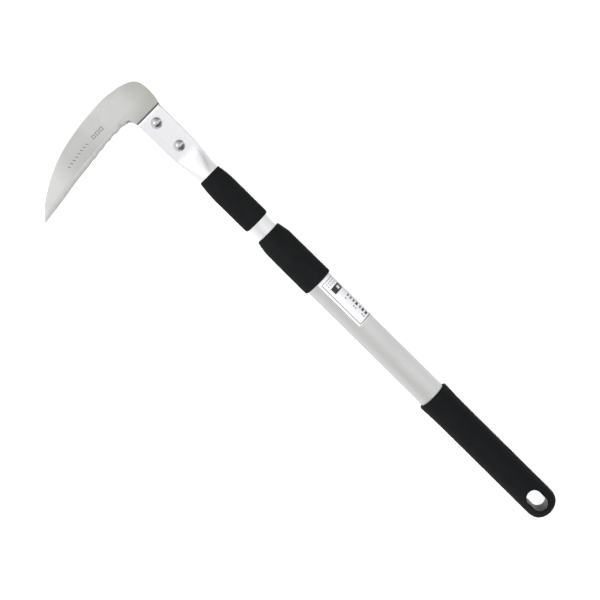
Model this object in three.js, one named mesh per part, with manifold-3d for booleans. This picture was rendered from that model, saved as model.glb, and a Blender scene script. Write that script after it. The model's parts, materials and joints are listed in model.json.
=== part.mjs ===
// A hand sickle with a telescoping handle: a crescent blade riveted into the flattened end of an
// inner tube, which slides in a ribbed outer tube and is held in place by a twist lock.
//
// Millimetres, +Z up. The pieces are drawn along the handle's axis: x runs from just behind the
// butt end towards the blade, y points to the side of the blade's tip, z is square to the blade.
// The whole tool is then laid on the floor, leaning over until the tip touches it.
import * as THREE from "three";
import { mergeVertices } from "three/addons/utils/BufferGeometryUtils.js";
import Module from "manifold-3d";

const wasm = await Module();
wasm.setup();

const TOUCH = 0.2;                 // gap left between faces that bear on each other
const ROUND_FACETS = 60;
const INNER_FACETS = 36;           // rounds that are hidden inside the tool
const TAU = Math.PI * 2;

// Grip and hanging hole
const GRIP_START = 1.8;
const GRIP_MOUTH = 165.2;
const GRIP_RADIUS = 16.1;
const GRIP_MOUTH_RADIUS = 17;
const GRIP_FLARE_LENGTH = 34;
const GRIP_MOUTH_ROUND = 1;
const GRIP_END_LENGTH = 16.5;      // the rounded butt end, seen from above
const GRIP_END_FULLNESS = 2.6;     // exponent of that outline: 2 is elliptical
const GRIP_END_THICKNESS = 28.4;   // across the hanging hole
const GRIP_EDGE_ROUND = 7;         // rounding between the end's sides and its faces
const GRIP_FLAT_FROM = 12;         // the flattened end fades into the round grip between these
const GRIP_FLAT_TO = 44;           // which leaves a full wall over the bore
const GRIP_FLAT_FULLNESS = 2.3;
const HOLE_START = 9.1;
const HOLE_LENGTH = 23.5;
const HOLE_WIDTH = 15.2;
const HOLE_LIP_WIDTH = 3.1;
const HOLE_LIP_HEIGHT = 0.7;
const GRIP_BORE_START = 37.6;

// Outer tube, its label, and what is fitted to its ends
const OUTER_RADIUS = 14;
const OUTER_BORE = 12.8;
const OUTER_RIBS = 44;
const OUTER_START = 40.4;
const OUTER_END = 378;
const RIB_DEPTH = 0.16;
const FIT_ON_OUTER = OUTER_RADIUS + TOUCH;
const PLUG_FLANGE = 2.2;
const PLUG_DEPTH = 15;
const LABEL_START = 265;
const LABEL_END = 321.5;
const LABEL_THICKNESS = 0.14;
const LABEL_FROM_ANGLE = 86;       // degrees round the tube, from the tip's side over the top
const LABEL_TO_ANGLE = 232;

// Middle sleeve and the bush in the outer tube's mouth
const MIDDLE_START = 322.4;
const MIDDLE_END = 391.1;
const MIDDLE_RADIUS = 16.2;
const MIDDLE_SHOULDER_RADIUS = 15.6;
const MIDDLE_SHOULDER = 380;
const MIDDLE_TIP_RADIUS = 13.7;
const SLEEVE_ROUND = 2;
const BUSH_DEPTH = 22;
const BUSH_FLANGE = 2.4;

// Inner tube, its pressed head and the upper sleeve
const INNER_RADIUS = 11;
const INNER_BORE = 9.8;
const INNER_WALL = INNER_RADIUS - INNER_BORE;
const INNER_RIB_DEPTH = 0.12;
const INNER_START = 142;
const PRESS_START = 468;           // the tube starts to flatten here
const PRESS_THIN = 503;            // and has its full flatness here
const PRESS_WIDE = 510;            // and nearly its full width here
const HEAD_END = 552.7;
const HEAD_HALF_THICKNESS = 2.5;
const HEAD_HALF_WIDTH = 14.5;
const HEAD_MOUTH_HALF_WIDTH = 14.9;
const FLAT_SHARE = 0.36;           // part of the round that becomes the head's flats
const FIT_ON_INNER = INNER_RADIUS + TOUCH;
const UPPER_START = 405.6;
const UPPER_END = 470.8;
const UPPER_RADIUS = 14.1;
const UPPER_TIP_RADIUS = 12.2;
const UPPER_TAPER = 22;
const FOAM_ROUND = 2.6;

// Blade
const BLADE_THICKNESS = 2;
const EDGE_THICKNESS = 0.3;
const BEVEL_WIDTH = 5.6;
const CHAMFER = 0.5;
const SHOULDER = HEAD_END + 0.3;   // the blade's neck stops just short of the head
const TANG_END = 504.5;
const TANG_HALF_WIDTH = 12;
const TANG_END_HALF_WIDTH = 11;
const TIP = [551.2, 145.6];
const BACK_OUTLINE = [TIP, [558.7, 138.9], [566.4, 129], [577.6, 109.6], [586.4, 86.7],
  [591.7, 60.1], [593.9, 37], [594.3, 18], [591.7, 1.3]];
const CROWN_OUTLINE = [[591.7, 1.3], [587.1, -10], [580.4, -15.7], [571, -17.3], [562, -16.9],
  [SHOULDER, -15]];
const EDGE_OUTLINE = [[550.4, 145], [553.3, 121], [556.7, 98], [558.7, 78], [560.1, 62], [561.9, 42],
  [561.4, 21.3]];
const NECK_OUTLINE = [[561.4, 21.3], [559.9, 18.2], [557.5, 16.2], [SHOULDER, 14.9]];
const WAVE_PITCH = 10.5;
const WAVE_COUNT = 5;
const WAVE_START = 22.9;
const WAVE_DEPTH = 1.2;
const CHOIL = [560.2, 18.9];       // small round notch where the ground edge starts
const CHOIL_RADIUS = 0.8;

// Rivets through the head and the tang
const FRONT_RIVET_X = 541.7;
const REAR_RIVET_X = 511;
const RIVET_RADIUS = 2.5;
const RIVET_HEAD_RADIUS = 5.6;
const RIVET_HEAD_HEIGHT = 3.2;
const RIVET_TAIL_RADIUS = 4.2;
const RIVET_TAIL_HEIGHT = 1.5;
const RIVET_HOLE = RIVET_RADIUS + 0.3;
const WASHER_THICKNESS = 0.8;

// Twist lock on the inner tube's hidden end
const COLLAR_LENGTH = 11.5;
const COLLAR_START = INNER_START + 2;
const SLIDING_RADIUS = OUTER_BORE - 0.25;
const CORE_LENGTH = 33;
const CORE_FLANGE = 6;
const CORE_FIT = 0.3;
const SPINDLE_RADIUS = 6.2;
const SPINDLE_LENGTH = 18;
const SPINDLE_OFFSET = 1.4;
const PIN_X = 166;
const PIN_RADIUS = 1.5;
const RING_END_PLAY = 0.4;
const RING_RISE = 0.85;            // how far the ring's bore opens over the unlocking turn
const RING_RISE_ANGLE = 120;
const RING_SLIT_ANGLE = 300;
const RING_SLIT_HALF = 6;
const DRAG_SECTION = 0.85;
const DRAG_RADIUS = 11.85;
const LOCK_WASHER_RADIUS = 8.5;
const LOCK_WASHER_THICKNESS = 1;
const SCREW_RADIUS = 1.9;
const SCREW_HEAD_RADIUS = 4;
const SCREW_HEAD_HEIGHT = 2.8;
const SCREW_LENGTH = 13;

const MATERIALS = {
  brushedSteel: new THREE.MeshStandardMaterial({ color: 0xc9c8c3, roughness: 0.34, metalness: 1 }),
  aluminium: new THREE.MeshStandardMaterial({ color: 0xd8d8d6, roughness: 0.3, metalness: 1 }),
  polishedSteel: new THREE.MeshStandardMaterial({ color: 0xd5d6d8, roughness: 0.1, metalness: 1 }),
  foam: new THREE.MeshStandardMaterial({ color: 0x202224, roughness: 0.85 }),
  moulded: new THREE.MeshStandardMaterial({ color: 0x1e1f21, roughness: 0.65 }),
  whitePlastic: new THREE.MeshStandardMaterial({ color: 0xe6e4dc, roughness: 0.45 }),
  greyPlastic: new THREE.MeshStandardMaterial({ color: 0x55585c, roughness: 0.5 }),
  rubber: new THREE.MeshStandardMaterial({ color: 0x161616, roughness: 0.8 }),
  film: new THREE.MeshStandardMaterial({ color: 0xf0f0ee, roughness: 0.4 }),
};

// ---------------------------------------------------------------- geometry helpers

function smooth(from, to, x) {
  return THREE.MathUtils.smoothstep(x, from, to);
}

function mix(a, b, share) {
  return THREE.MathUtils.lerp(a, b, share);
}

function spaced(from, to, count) {
  return Array.from({ length: count }, (_, i) => mix(from, to, i / (count - 1)));
}

function signedVolume(geometry) {
  const p = geometry.attributes.position;
  const [a, b, c] = [0, 1, 2].map(() => new THREE.Vector3());
  let volume = 0;
  for (let i = 0; i < geometry.index.count; i += 3) {
    a.fromBufferAttribute(p, geometry.index.getX(i));
    b.fromBufferAttribute(p, geometry.index.getX(i + 1));
    c.fromBufferAttribute(p, geometry.index.getX(i + 2));
    volume += a.dot(b.cross(c)) / 6;
  }
  return volume;
}

// One closed skin with shared corners, no empty triangles, and faces turned outwards.
function welded(geometry) {
  const bare = geometry.clone();
  bare.deleteAttribute("normal");
  bare.deleteAttribute("uv");
  const merged = mergeVertices(bare, 1e-4);
  const kept = [];
  for (let i = 0; i < merged.index.count; i += 3) {
    const [a, b, c] = [0, 1, 2].map((k) => merged.index.getX(i + k));
    if (a !== b && b !== c && c !== a) kept.push(a, b, c);
  }
  merged.setIndex(kept);
  if (signedVolume(merged) < 0) merged.setIndex(kept.reverse());
  return merged;
}

function toSolid(geometry) {
  const mesh = welded(geometry);
  return new wasm.Manifold(new wasm.Mesh({
    numProp: 3,
    vertProperties: Float32Array.from(mesh.attributes.position.array),
    triVerts: Uint32Array.from(mesh.index.array),
  }));
}

function fromSolid(solid) {
  const mesh = solid.getMesh();
  const geometry = new THREE.BufferGeometry();
  geometry.setAttribute("position", new THREE.BufferAttribute(Float32Array.from(mesh.vertProperties), 3));
  geometry.setIndex(new THREE.BufferAttribute(Uint32Array.from(mesh.triVerts), 1));
  return geometry;
}

function cut(geometry, ...tools) {
  return fromSolid(tools.reduce((rest, tool) => rest.subtract(toSolid(tool)), toSolid(geometry)));
}

function joined(...geometries) {
  return fromSolid(geometries.map(toSolid).reduce((whole, piece) => whole.add(piece)));
}

function common(a, b) {
  return fromSolid(toSolid(a).intersect(toSolid(b)));
}

// A solid of revolution about the handle's axis, from [x, radius] points.
function turned(profile, facets = INNER_FACETS) {
  const points = profile.map(([x, radius]) => new THREE.Vector2(radius, x));
  return welded(new THREE.LatheGeometry(points, facets).rotateZ(-Math.PI / 2));
}

// A ring with a plain bore, from x0 to x1.
function ring(x0, x1, bore, radius, facets) {
  return turned([[x0, bore], [x1, bore], [x1, radius], [x0, radius], [x0, bore]], facets);
}

function rod(x0, x1, radius, facets) {
  return turned([[x0, 0], [x0, radius], [x1, radius], [x1, 0]], facets);
}

function arc(x, radius, round, fromDegrees, toDegrees, steps = 6) {
  return spaced(fromDegrees, toDegrees, steps + 1).map((degrees) => {
    const angle = THREE.MathUtils.degToRad(degrees);
    return [x + round * Math.cos(angle), radius + round * Math.sin(angle)];
  });
}

// A flat outline in (y, z), drawn out along x.
function drawnAlongX(shape, x0, x1) {
  const frame = new THREE.Matrix4().makeBasis(
    new THREE.Vector3(0, 1, 0), new THREE.Vector3(0, 0, 1), new THREE.Vector3(1, 0, 0));
  const geometry = new THREE.ExtrudeGeometry(shape, { depth: x1 - x0, bevelEnabled: false });
  return welded(geometry.applyMatrix4(frame).translate(x0, 0, 0));
}

function crossHole(x, y, radius, reach) {
  const cylinder = new THREE.CylinderGeometry(radius, radius, reach * 2, 32);
  return cylinder.rotateX(Math.PI / 2).translate(x, y, 0);
}

function obround(x0, length, width) {
  const round = width / 2;
  const outline = new THREE.Shape();
  outline.absarc(x0 + length - round, 0, round, -Math.PI / 2, Math.PI / 2);
  outline.absarc(x0 + round, 0, round, Math.PI / 2, Math.PI * 1.5);
  return outline;
}

function throughZ(shape, reach) {
  const settings = { depth: reach * 2, bevelEnabled: false, curveSegments: 16 };
  return new THREE.ExtrudeGeometry(shape, settings).translate(0, 0, -reach);
}

// Quads between ring a and ring b, each a run of `count` points.
function band(indices, a, b, count) {
  for (let i = 0; i < count; i++) {
    const next = (i + 1) % count;
    indices.push(a + i, b + i, b + next, a + i, b + next, a + next);
  }
}

function skin(points, indices) {
  const geometry = new THREE.BufferGeometry().setFromPoints(points);
  geometry.setIndex(indices);
  return welded(geometry);
}

function loft(rings) {
  const count = rings[0].length;
  const last = (rings.length - 1) * count;
  const indices = [];
  for (let k = 0; k < rings.length - 1; k++) band(indices, k * count, (k + 1) * count, count);
  for (let i = 1; i < count - 1; i++) {
    indices.push(0, i, i + 1, last, last + i + 1, last + i);
  }
  return skin(rings.flat(), indices);
}

// A hollow loft: out along the outside, back along the inside.
function hollowLoft(outside, inside) {
  const rings = [...outside, ...inside.toReversed()];
  const count = rings[0].length;
  const indices = [];
  rings.forEach((_, k) => band(indices, k * count, ((k + 1) % rings.length) * count, count));
  return skin(rings.flat(), indices);
}

// ---------------------------------------------------------------- grip

// How far a quarter-round edge of this radius drops, `into` millimetres into it.
function rounding(radius, into) {
  return radius - Math.sqrt(radius ** 2 - Math.max(0, into) ** 2);
}

function gripRadius(x) {
  const flare = Math.max(0, x - GRIP_MOUTH + GRIP_FLARE_LENGTH) / GRIP_FLARE_LENGTH;
  const mouth = rounding(GRIP_MOUTH_ROUND, x - GRIP_MOUTH + GRIP_MOUTH_ROUND);
  return mix(GRIP_RADIUS, GRIP_MOUTH_RADIUS, flare ** 2) - mouth;
}

function gripHalfWidth(x) {
  const away = Math.max(0, 1 - (x - GRIP_START) / GRIP_END_LENGTH);
  return gripRadius(x) * (1 - away ** GRIP_END_FULLNESS) ** (1 / GRIP_END_FULLNESS);
}

function gripHalfThickness(x) {
  const edge = rounding(GRIP_EDGE_ROUND, GRIP_START + GRIP_EDGE_ROUND - x);
  return mix(GRIP_END_THICKNESS / 2, gripRadius(x), smooth(GRIP_FLAT_FROM, GRIP_FLAT_TO, x)) - edge;
}

function gripRing(x, swell) {
  const fullness = mix(GRIP_FLAT_FULLNESS, 2, smooth(GRIP_FLAT_FROM, GRIP_FLAT_TO, x));
  const width = gripHalfWidth(x) + swell;
  const height = gripHalfThickness(x) + swell;
  const bulge = (value) => Math.sign(value) * Math.abs(value) ** (2 / fullness);
  return spaced(0, TAU, ROUND_FACETS + 1).slice(0, -1).map((angle) =>
    new THREE.Vector3(x, width * bulge(Math.cos(angle)), height * bulge(Math.sin(angle))));
}

function gripBody(swell = 0) {
  const end = spaced(0.12, 1, 12).map((share) => GRIP_START + GRIP_END_LENGTH * share ** 2);
  const middle = spaced(GRIP_START + GRIP_END_LENGTH + 1.5, GRIP_FLAT_TO, 7);
  const flare = spaced(GRIP_MOUTH - GRIP_FLARE_LENGTH, GRIP_MOUTH - GRIP_MOUTH_ROUND, 6);
  const mouth = [0.5, 0.85, 1].map((share) => GRIP_MOUTH - GRIP_MOUTH_ROUND * (1 - share));
  return loft([...end, ...middle, ...flare, ...mouth].map((x) => gripRing(x, swell)));
}

function handleGrip() {
  const reach = GRIP_RADIUS * 2;
  const lipOutline = obround(HOLE_START - HOLE_LIP_WIDTH, HOLE_LENGTH + HOLE_LIP_WIDTH * 2,
    HOLE_WIDTH + HOLE_LIP_WIDTH * 2);
  const lip = common(throughZ(lipOutline, reach), gripBody(HOLE_LIP_HEIGHT));
  const bore = rod(GRIP_BORE_START, GRIP_MOUTH + 5, FIT_ON_OUTER, ROUND_FACETS);
  const hole = throughZ(obround(HOLE_START, HOLE_LENGTH, HOLE_WIDTH), reach);
  return cut(joined(gripBody(), lip), hole, bore);
}

// ---------------------------------------------------------------- outer tube and what it carries

function ribbedCircle(radius, ribs, depth) {
  const outline = new THREE.Shape();
  const share = TAU / ribs;
  for (let i = 0; i < ribs; i++) {
    for (const [turn, drop] of [[0, depth], [0.25, 0], [0.75, 0]]) {
      const angle = (i + turn) * share;
      const point = [(radius - drop) * Math.cos(angle), (radius - drop) * Math.sin(angle)];
      if (i === 0 && turn === 0) outline.moveTo(...point);
      else outline.lineTo(...point);
    }
  }
  outline.closePath();
  return outline;
}

function outerTube() {
  const outline = ribbedCircle(OUTER_RADIUS, OUTER_RIBS, RIB_DEPTH);
  const bar = drawnAlongX(outline, OUTER_START, OUTER_END);
  return cut(bar, rod(OUTER_START - 5, OUTER_END + 5, OUTER_BORE, ROUND_FACETS));
}

function tubePlug() {
  const flangeStart = OUTER_START - TOUCH - PLUG_FLANGE;
  const bodyRadius = OUTER_BORE - TOUCH;
  return turned([
    [flangeStart, 0], [flangeStart, OUTER_RADIUS - 0.4], [OUTER_START - TOUCH, OUTER_RADIUS - 0.4],
    [OUTER_START - TOUCH, bodyRadius], [OUTER_START + PLUG_DEPTH - 1, bodyRadius],
    [OUTER_START + PLUG_DEPTH, bodyRadius - 1], [OUTER_START + PLUG_DEPTH, bodyRadius - 3],
    [OUTER_START + 1, bodyRadius - 3], [OUTER_START + 1, 0],
  ]);
}

function label() {
  const inside = OUTER_RADIUS + 0.06;
  const outline = new THREE.Shape();
  const [from, to] = [LABEL_FROM_ANGLE, LABEL_TO_ANGLE];
  const lower = arc(0, 0, inside, from, to, 36);
  const upper = arc(0, 0, inside + LABEL_THICKNESS, to, from, 36);
  [...lower, ...upper].forEach(([y, z], i) => (i ? outline.lineTo(y, z) : outline.moveTo(y, z)));
  outline.closePath();
  return drawnAlongX(outline, LABEL_START, LABEL_END);
}

function middleSleeve() {
  const seat = OUTER_END + BUSH_FLANGE + TOUCH * 3;
  const lipBore = FIT_ON_INNER + 0.15;
  return turned([
    [MIDDLE_START, FIT_ON_OUTER],
    ...arc(MIDDLE_START + SLEEVE_ROUND, MIDDLE_RADIUS - SLEEVE_ROUND, SLEEVE_ROUND, 180, 90),
    [mix(MIDDLE_START, MIDDLE_SHOULDER, 0.6), MIDDLE_RADIUS - 0.1],
    [MIDDLE_SHOULDER - 4, MIDDLE_SHOULDER_RADIUS + 0.25], [MIDDLE_SHOULDER, MIDDLE_SHOULDER_RADIUS],
    [MIDDLE_SHOULDER + 4, MIDDLE_SHOULDER_RADIUS - 0.6], [MIDDLE_END - 0.5, MIDDLE_TIP_RADIUS],
    [MIDDLE_END, MIDDLE_TIP_RADIUS - 0.5], [MIDDLE_END, lipBore], [seat, lipBore],
    [seat, FIT_ON_OUTER], [MIDDLE_START, FIT_ON_OUTER],
  ], ROUND_FACETS);
}

function mouthBush() {
  const bore = INNER_RADIUS + 0.3;
  const body = OUTER_BORE - TOUCH;
  const flangeStart = OUTER_END + TOUCH;
  return turned([
    [OUTER_END - BUSH_DEPTH, bore], [OUTER_END - BUSH_DEPTH, body], [flangeStart, body],
    [flangeStart, OUTER_RADIUS - 0.2], [flangeStart + BUSH_FLANGE, OUTER_RADIUS - 0.2],
    [flangeStart + BUSH_FLANGE, bore], [OUTER_END - BUSH_DEPTH, bore],
  ]);
}

// ---------------------------------------------------------------- inner tube with its pressed head

function headHalfWidth(x) {
  const pressed = mix(INNER_RADIUS, HEAD_HALF_WIDTH, smooth(PRESS_START, PRESS_WIDE, x));
  return pressed + (HEAD_MOUTH_HALF_WIDTH - HEAD_HALF_WIDTH) * smooth(PRESS_THIN, HEAD_END, x);
}

function headHalfThickness(x) {
  return mix(INNER_RADIUS, HEAD_HALF_THICKNESS, smooth(PRESS_START, PRESS_THIN, x));
}

// The tube's section at x, `inset` in from its skin: round first, then two flats with round sides.
function tubeRing(x, inset, ribDepth) {
  const flatness = smooth(PRESS_START, PRESS_THIN, x);
  const round = headHalfThickness(x) - inset;
  const spread = headHalfWidth(x) - headHalfThickness(x);
  const poleHeight = Math.sqrt(1 - FLAT_SHARE ** 2);
  return spaced(0, TAU, ROUND_FACETS + 1).slice(0, -1).map((angle, i) => {
    const drop = i % 2 ? ribDepth : 0;
    const along = THREE.MathUtils.clamp(Math.cos(angle) / FLAT_SHARE, -1, 1);
    const flat = THREE.MathUtils.clamp(Math.sin(angle) / poleHeight, -1, 1);
    const height = mix(Math.sin(angle), flat, flatness);
    return new THREE.Vector3(x, spread * along + (round - drop) * Math.cos(angle), (round - drop) * height);
  });
}

function innerTube() {
  const press = spaced(PRESS_START, PRESS_THIN, 13);
  const stations = [INNER_START, ...press, PRESS_WIDE, mix(PRESS_WIDE, HEAD_END, 0.5), HEAD_END];
  const outside = stations.map((x) => tubeRing(x, 0, INNER_RIB_DEPTH));
  const inside = stations.map((x) => tubeRing(x, INNER_WALL, 0));
  return cut(hollowLoft(outside, inside),
    crossHole(FRONT_RIVET_X, 0, RIVET_HOLE, 20), crossHole(REAR_RIVET_X, 0, RIVET_HOLE, 20),
    crossHole(PIN_X, 0, PIN_RADIUS + TOUCH, 20));
}

function upperSleeve() {
  return turned([
    [UPPER_START, FIT_ON_INNER],
    ...arc(UPPER_START + FOAM_ROUND, UPPER_RADIUS - FOAM_ROUND, FOAM_ROUND, 180, 90),
    [UPPER_END - UPPER_TAPER, UPPER_RADIUS - 0.1],
    [UPPER_END - UPPER_TAPER * 0.5, mix(UPPER_RADIUS, UPPER_TIP_RADIUS, 0.3)],
    [UPPER_END - 0.5, UPPER_TIP_RADIUS], [UPPER_END, UPPER_TIP_RADIUS - 0.4],
    [UPPER_END, FIT_ON_INNER], [UPPER_START, FIT_ON_INNER],
  ], ROUND_FACETS);
}

// ---------------------------------------------------------------- blade

function outlineCurve(points) {
  return new THREE.SplineCurve(points.map(([x, y]) => new THREE.Vector2(x, y)));
}

function waveDepth(y) {
  const turns = (y - WAVE_START) / WAVE_PITCH;
  if (turns < 0 || turns > WAVE_COUNT) return 0;
  const fade = mix(1, 0.45, turns / WAVE_COUNT);
  return WAVE_DEPTH * fade * (1 - Math.cos(turns * TAU)) / 2;
}

// The blade's section between its back and its inner side: two faces, each with a ground bevel.
function bladeRing(back, inner, bevel, edge, wave = 0) {
  const across = back.clone().sub(inner);
  const width = across.length();
  across.divideScalar(width);
  const bevelLine = inner.clone().addScaledVector(across, Math.min(bevel, width * 0.45));
  const edgeLine = inner.clone().addScaledVector(across, wave);
  const half = BLADE_THICKNESS / 2;
  return [[back, half], [bevelLine, half], [edgeLine, edge / 2],
    [edgeLine, -edge / 2], [bevelLine, -half], [back, -half]]
    .map(([point, z]) => new THREE.Vector3(point.x, point.y, z));
}

function bladeRings() {
  const [backCurve, edgeCurve] = [BACK_OUTLINE, EDGE_OUTLINE].map(outlineCurve);
  const stations = [...spaced(0, 0.4, 22), ...spaced(0.41, 1, 76)];
  return stations.map((share) => {
    const inner = edgeCurve.getPointAt(share);
    return bladeRing(backCurve.getPointAt(share), inner, BEVEL_WIDTH, EDGE_THICKNESS, waveDepth(inner.y));
  });
}

function neckRings() {
  const [crownCurve, neckCurve] = [CROWN_OUTLINE, NECK_OUTLINE].map(outlineCurve);
  return spaced(0.04, 1, 24).map((share) => {
    const fade = smooth(0, 0.3, share);
    const bevel = mix(BEVEL_WIDTH, CHAMFER, fade);
    const edge = mix(EDGE_THICKNESS, BLADE_THICKNESS - CHAMFER, fade);
    return bladeRing(crownCurve.getPointAt(share), neckCurve.getPointAt(share), bevel, edge);
  });
}

function tangRings() {
  const stations = [[SHOULDER - 0.05, TANG_HALF_WIDTH], [TANG_END + 3, TANG_END_HALF_WIDTH],
    [TANG_END, TANG_END_HALF_WIDTH - 3]];
  return stations.map(([x, half]) =>
    bladeRing(new THREE.Vector2(x, -half), new THREE.Vector2(x, half), CHAMFER, BLADE_THICKNESS - CHAMFER));
}

function blade() {
  return cut(loft([...bladeRings(), ...neckRings(), ...tangRings()]),
    crossHole(...CHOIL, CHOIL_RADIUS, 5),
    crossHole(FRONT_RIVET_X, 0, RIVET_HOLE, 5), crossHole(REAR_RIVET_X, 0, RIVET_HOLE, 5));
}

// ---------------------------------------------------------------- rivets

// Points of a low dome from its rim at height 0 to its top on the axis.
function dome(radius, height, steps) {
  const sphere = (radius ** 2 + height ** 2) / (2 * height);
  const reach = Math.asin(radius / sphere);
  return spaced(reach, 0, steps).map((angle) =>
    [sphere * Math.sin(angle), sphere * Math.cos(angle) - sphere + height]);
}

// Turned about an axis square to the blade at x, from [radius, z] points.
function stoodAt(x, profile) {
  const points = profile.map(([radius, z]) => new THREE.Vector2(Math.max(radius, 0), z));
  return welded(new THREE.LatheGeometry(points, INNER_FACETS).rotateX(Math.PI / 2)).translate(x, 0, 0);
}

function rivet(x) {
  const seat = HEAD_HALF_THICKNESS + 0.1;
  const tailSeat = -HEAD_HALF_THICKNESS - WASHER_THICKNESS - TOUCH * 2;
  const head = dome(RIVET_HEAD_RADIUS, RIVET_HEAD_HEIGHT - 0.5, 9).map(([r, h]) => [r, seat + 0.5 + h]);
  const tail = dome(RIVET_TAIL_RADIUS, RIVET_TAIL_HEIGHT, 7).map(([r, h]) => [r, tailSeat - h]);
  return stoodAt(x, [...tail.toReversed(), [RIVET_RADIUS, tailSeat], [RIVET_RADIUS, seat],
    [RIVET_HEAD_RADIUS, seat], ...head]);
}

function rivetWasher(x) {
  const top = -HEAD_HALF_THICKNESS - TOUCH;
  const bottom = top - WASHER_THICKNESS;
  return stoodAt(x, [[RIVET_HOLE, bottom], [RIVET_HEAD_RADIUS, bottom], [RIVET_HEAD_RADIUS, top],
    [RIVET_HOLE, top], [RIVET_HOLE, bottom]]);
}

// ---------------------------------------------------------------- twist lock

const FLANGE_START = INNER_START - TOUCH - CORE_FLANGE;
const SPINDLE_START = FLANGE_START - SPINDLE_LENGTH;
const RING_START = SPINDLE_START + RING_END_PLAY;
const RING_END = FLANGE_START - RING_END_PLAY;

function guideCollar() {
  return ring(COLLAR_START, COLLAR_START + COLLAR_LENGTH, FIT_ON_INNER, SLIDING_RADIUS);
}

function lockCore() {
  const plug = turned([
    [FLANGE_START, 0], [FLANGE_START, INNER_RADIUS], [INNER_START - TOUCH, INNER_RADIUS],
    [INNER_START - TOUCH, INNER_BORE - CORE_FIT], [INNER_START + CORE_LENGTH - 1, INNER_BORE - CORE_FIT],
    [INNER_START + CORE_LENGTH, INNER_BORE - CORE_FIT - 1], [INNER_START + CORE_LENGTH, 0],
  ]);
  const spindle = rod(SPINDLE_START, FLANGE_START + 1, SPINDLE_RADIUS).translate(0, 0, SPINDLE_OFFSET);
  const screwHole = rod(SPINDLE_START - 1, SPINDLE_START + SCREW_LENGTH + 1, SCREW_RADIUS + 0.2, 32);
  return cut(joined(plug, spindle), screwHole.translate(0, 0, SPINDLE_OFFSET),
    crossHole(PIN_X, 0, PIN_RADIUS + TOUCH, 20));
}

function corePin() {
  return crossHole(PIN_X, 0, PIN_RADIUS, INNER_RADIUS - 0.2);
}

function ringBore(degrees) {
  const opened = THREE.MathUtils.clamp((degrees - 90) / RING_RISE_ANGLE, 0, 1);
  return SPINDLE_RADIUS + SPINDLE_OFFSET + 0.15 + RING_RISE * opened;
}

function lockRing() {
  const from = RING_SLIT_ANGLE + RING_SLIT_HALF - 360;
  const to = RING_SLIT_ANGLE - RING_SLIT_HALF;
  const angles = spaced(from, to, 61);
  const at = (radius, degrees) => arc(0, 0, radius, degrees, degrees, 1)[0];
  const outline = new THREE.Shape([
    ...angles.map((degrees) => at(SLIDING_RADIUS, degrees)),
    ...angles.toReversed().map((degrees) => at(ringBore(degrees), degrees)),
  ].map(([y, z]) => new THREE.Vector2(y, z)));
  const middle = (RING_START + RING_END) / 2;
  const grooveHalf = DRAG_SECTION + 0.25;
  const groove = ring(middle - grooveHalf, middle + grooveHalf, DRAG_RADIUS - DRAG_SECTION - 0.15,
    OUTER_BORE + 1);
  return cut(drawnAlongX(outline, RING_START, RING_END), groove);
}

function dragRing() {
  const middle = (RING_START + RING_END) / 2;
  const section = arc(middle, DRAG_RADIUS, DRAG_SECTION, 0, 360, 10);
  return turned([...section.slice(0, -1), section[0]]);
}

function lockWasher() {
  const end = SPINDLE_START - TOUCH;
  return ring(end - LOCK_WASHER_THICKNESS, end, SCREW_RADIUS + 0.3, LOCK_WASHER_RADIUS)
    .translate(0, 0, SPINDLE_OFFSET);
}

function lockScrew() {
  const seat = SPINDLE_START - LOCK_WASHER_THICKNESS - TOUCH * 2;
  const top = seat - SCREW_HEAD_HEIGHT;
  const body = turned([
    [top, 0], [top, SCREW_HEAD_RADIUS - 1], [top + 1, SCREW_HEAD_RADIUS], [seat, SCREW_HEAD_RADIUS],
    [seat, SCREW_RADIUS], [seat + SCREW_LENGTH - 1, SCREW_RADIUS], [seat + SCREW_LENGTH, SCREW_RADIUS - 1],
    [seat + SCREW_LENGTH, 0],
  ]);
  const bars = [[5, 1], [1, 5]].map(([y, z]) => new THREE.BoxGeometry(3, y, z).translate(top, 0, 0));
  return cut(body, ...bars).translate(0, 0, SPINDLE_OFFSET);
}

// ---------------------------------------------------------------- assembly

const PIECES = [
  ["outer_tube", outerTube(), "aluminium"],
  ["handle_grip", handleGrip(), "moulded"],
  ["tube_plug", tubePlug(), "greyPlastic"],
  ["middle_sleeve", middleSleeve(), "foam"],
  ["mouth_bush", mouthBush(), "whitePlastic"],
  ["label", label(), "film"],
  ["lock_ring", lockRing(), "whitePlastic"],
  ["drag_ring", dragRing(), "rubber"],
  ["inner_tube", innerTube(), "aluminium"],
  ["upper_sleeve", upperSleeve(), "foam"],
  ["blade", blade(), "brushedSteel"],
  ["front_rivet", rivet(FRONT_RIVET_X), "polishedSteel"],
  ["rear_rivet", rivet(REAR_RIVET_X), "polishedSteel"],
  ["front_washer", rivetWasher(FRONT_RIVET_X), "polishedSteel"],
  ["rear_washer", rivetWasher(REAR_RIVET_X), "polishedSteel"],
  ["guide_collar", guideCollar(), "whitePlastic"],
  ["lock_core", lockCore(), "greyPlastic"],
  ["core_pin", corePin(), "aluminium"],
  ["lock_washer", lockWasher(), "polishedSteel"],
  ["lock_screw", lockScrew(), "polishedSteel"],
];

function pieceMesh([name, geometry, material]) {
  const mesh = new THREE.Mesh(geometry, MATERIALS[material].clone());
  mesh.name = name;
  return mesh;
}

// Lying on the floor, the grip's mouth and the blade's tip both touch it.
const LEAN = Math.asin((GRIP_MOUTH_RADIUS - BLADE_THICKNESS / 2) / TIP[1]);

const tool = new THREE.Group();
tool.add(...PIECES.map(pieceMesh));
tool.rotation.x = -LEAN;

const sickle = new THREE.Group();
sickle.add(tool);
sickle.updateMatrixWorld(true);
const extent = new THREE.Box3().setFromObject(sickle, true);
const middle = extent.getCenter(new THREE.Vector3());
tool.position.set(-middle.x, -middle.y, -extent.min.z);
sickle.updateMatrixWorld(true);

export default sickle;
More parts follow.
